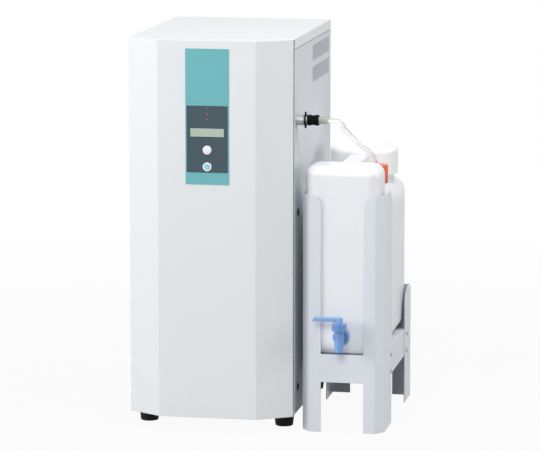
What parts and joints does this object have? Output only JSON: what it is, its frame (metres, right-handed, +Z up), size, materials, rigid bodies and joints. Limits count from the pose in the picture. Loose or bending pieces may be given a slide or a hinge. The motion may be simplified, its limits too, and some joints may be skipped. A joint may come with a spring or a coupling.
{
  "type": "laboratory water still",
  "caption": "Tall floor cabinet with a chamfered hinged door and control panel, a clear hose from its side, and a sheet-metal rack that holds a tank with a tap.",
  "frame": {"origin": "middle of the whole footprint, on the floor, with the hose left out", "axes": "+Z up, +X to the right when facing the door, +Y to the rear"},
  "size_m": [0.5066, 0.5034, 0.77],
  "materials": {
    "cabinet_paint": "semi-gloss powder coat",
    "rack_paint": "semi-gloss powder coat",
    "galvanised_sheet": "satin zinc",
    "foot_rubber": "matt",
    "zinc_fasteners": "satin",
    "hinge_steel": "satin",
    "black_plastic": "fine grain",
    "teal_plate": "satin",
    "slate_film": "satin film",
    "window_clear": "clear",
    "lamp_lens": "gloss",
    "ring_white": "satin",
    "button_white": "gloss",
    "button_display": "gloss",
    "board_green": "solder resist",
    "cover_plastic": "fine grain",
    "stainless": "brushed",
    "chamber_clear": "clear",
    "float_red": "satin",
    "filter_blue": "gloss",
    "resin_white": "gloss",
    "valve_brass": "satin",
    "tube_clear": "silicone",
    "cock_red": "gloss",
    "nickel": "satin nickel",
    "sleeve_clear": "clear",
    "hose_clear": "clear silicone",
    "tank_plastic": "translucent",
    "cap_plastic": "fine grain",
    "nipple_plastic": "satin",
    "cap_orange": "satin",
    "tap_blue": "satin"
  },
  "bodies": {
    "cabinet": {"base_pan": "galvanised_sheet", "rubber_feet": "foot_rubber", "screws": "zinc_fasteners", "chassis_frame": "galvanised_sheet", "left_side_panel": "cabinet_paint", "right_side_panel": "cabinet_paint", "side_plugs": "black_plastic", "rear_panel": "cabinet_paint", "top_cover": "cabinet_paint", "hinge_frame_leaves": "hinge_steel", "hinge_pins": "hinge_steel", "magnet_catch": "black_plastic", "bulkhead": "galvanised_sheet", "boiler_shelf": "galvanised_sheet", "boiler_vessel": "stainless", "boiler_lid": "stainless", "heater": "stainless", "condenser_jacket": "stainless", "condenser_coil": "stainless", "condenser_clamp": "stainless", "level_chamber": "chamber_clear", "prefilter": "filter_blue", "resin_cartridge": "resin_white", "cartridge_bracket": "galvanised_sheet", "solenoid_valve": "valve_brass", "inner_tubes": "tube_clear", "drain_cock_body": "valve_brass", "power_box": "cover_plastic", "water_spigots": "nickel", "cord_gland": "black_plastic", "outlet_fitting": "nickel", "retaining_ring": "black_plastic", "hose_sleeve": "sleeve_clear", "delivery_hose": "hose_clear", "rack_front": "rack_paint", "rack_tray": "rack_paint", "rack_rear": "rack_paint", "storage_tank": "tank_plastic", "port_nipple": "nipple_plastic", "tap_body": "tap_blue", "tap_collar": "tap_blue"},
    "door": {"door_shell": "cabinet_paint", "panel_plate": "teal_plate", "keypad_overlay": "slate_film", "display_window": "window_clear", "status_lamps": "lamp_lens", "button_bezels": "ring_white", "control_board": "board_green", "board_cover": "cover_plastic", "hinge_door_leaves": "hinge_steel"},
    "display_key": {"display_button": "button_display"},
    "start_key": {"start_button": "button_white"},
    "inner_plug": {"inner_lid": "cap_plastic"},
    "wide_cap": {"tank_cap": "cap_plastic"},
    "filling_cap": {"port_cap": "cap_orange"},
    "outlet_nut": {"union_nut": "black_plastic"},
    "level_ball": {"level_float": "float_red"},
    "breaker": {"breaker_toggle": "black_plastic"},
    "cock_lever": {"drain_cock_lever": "cock_red"},
    "tap_handle": {"tap_lever": "tap_blue"}
  },
  "joints": [
    {"name": "door_swing", "type": "hinge", "parent": "cabinet", "child": "door", "pos_m": [0.0677, -0.1963, 0.4], "axis": [0, 0, 1], "range_deg": [0, 90]},
    {"name": "display_button_press", "type": "slide", "parent": "door", "child": "display_key", "axis": [0, 1, 0], "range_m": [0, 0.0015], "stiffness_N_per_m": 400, "springref_m": -0.001},
    {"name": "start_button_press", "type": "slide", "parent": "door", "child": "start_key", "axis": [0, 1, 0], "range_m": [0, 0.0015], "stiffness_N_per_m": 400, "springref_m": -0.001},
    {"name": "tap_lever_turn", "type": "hinge", "parent": "cabinet", "child": "tap_handle", "pos_m": [0.1682, -0.2293, 0.22], "axis": [0, 0, 1], "range_deg": [0, 90]},
    {"name": "tank_lid_lift", "type": "slide", "parent": "cabinet", "child": "inner_plug", "axis": [0, 0, 1], "range_m": [0, 0.06]},
    {"name": "tank_cap_turn", "type": "hinge", "parent": "inner_plug", "child": "wide_cap", "pos_m": [0.1682, 0.0717, 0.52], "axis": [0, 0, 1], "continuous": true},
    {"name": "port_cap_turn", "type": "hinge", "parent": "cabinet", "child": "filling_cap", "pos_m": [0.2178, -0.0803, 0.5], "axis": [0, 0, 1], "continuous": true},
    {"name": "union_nut_turn", "type": "hinge", "parent": "cabinet", "child": "outlet_nut", "pos_m": [0.1062, -0.1733, 0.611], "axis": [1, 0, 0], "continuous": true},
    {"name": "float_slide", "type": "slide", "parent": "cabinet", "child": "level_ball", "axis": [0, 0, 1], "range_m": [0, 0.06]},
    {"name": "breaker_switch", "type": "hinge", "parent": "cabinet", "child": "breaker", "pos_m": [-0.0098, -0.1133, 0.5199], "axis": [-1, 0, 0], "range_deg": [0, 40]},
    {"name": "drain_cock_turn", "type": "hinge", "parent": "cabinet", "child": "cock_lever", "pos_m": [0.0352, -0.0983, 0.095], "axis": [0, 0, -1], "range_deg": [0, 90]}
  ]
}
